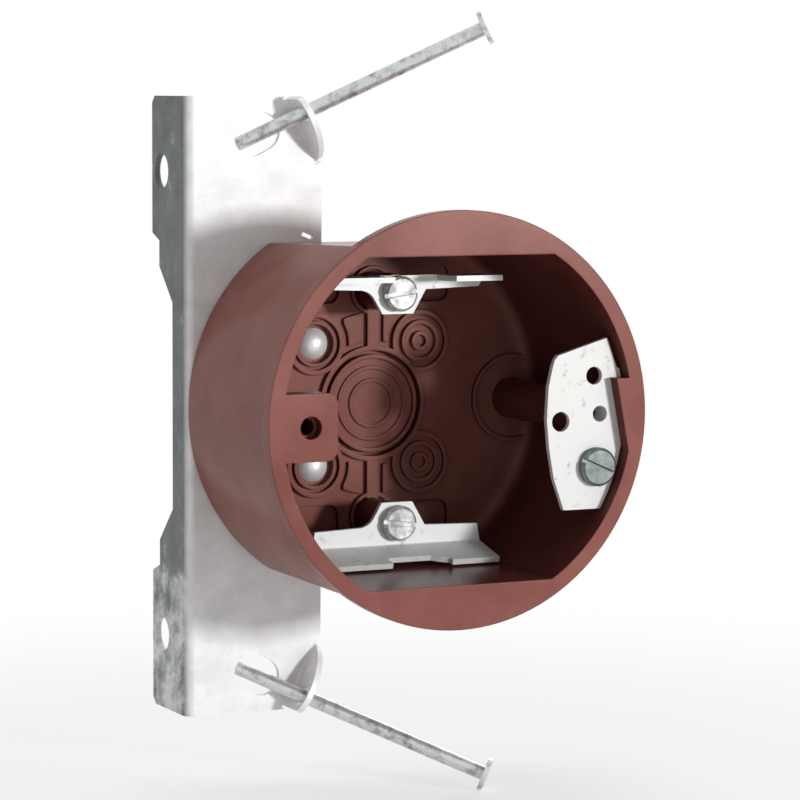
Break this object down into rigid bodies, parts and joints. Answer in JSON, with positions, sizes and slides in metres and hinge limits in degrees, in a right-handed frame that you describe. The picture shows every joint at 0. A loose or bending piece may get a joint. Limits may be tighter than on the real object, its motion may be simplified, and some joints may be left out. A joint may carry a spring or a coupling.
{
  "type": "ceiling outlet box",
  "caption": "Round moulded outlet box with flattened top and bottom, on a stamped steel side bracket with angled nails, cable clamps and a ground plate.",
  "frame": {"origin": "on the outer face of the bracket's flange, which lies on the joist, midway between its nailing holes and level with the box's axis", "axes": "-X out of the flange into the joist, -Y out of the box's mouth, +Z along the bracket towards the upper nail"},
  "size_m": [0.0888, 0.0665, 0.1707],
  "materials": {
    "moulding": "moulded brown phenolic, polished",
    "bracket_steel": "galvanised sheet",
    "rivet_steel": "plated",
    "clamp_steel": "zinc plated sheet",
    "screw_steel": "zinc plated",
    "ground_steel": "zinc plated sheet",
    "nail_steel": "bright drawn wire"
  },
  "bodies": {
    "root": {"box_body": "moulding", "bracket": "bracket_steel", "rivet_upper": "rivet_steel", "rivet_lower": "rivet_steel", "clamp_upper": "clamp_steel", "clamp_lower": "clamp_steel", "clamp_screw_upper": "screw_steel", "clamp_screw_lower": "screw_steel", "ground_plate": "ground_steel", "ground_screw": "screw_steel", "nail_upper": "nail_steel", "nail_lower": "nail_steel"}
  },
  "joints": []
}
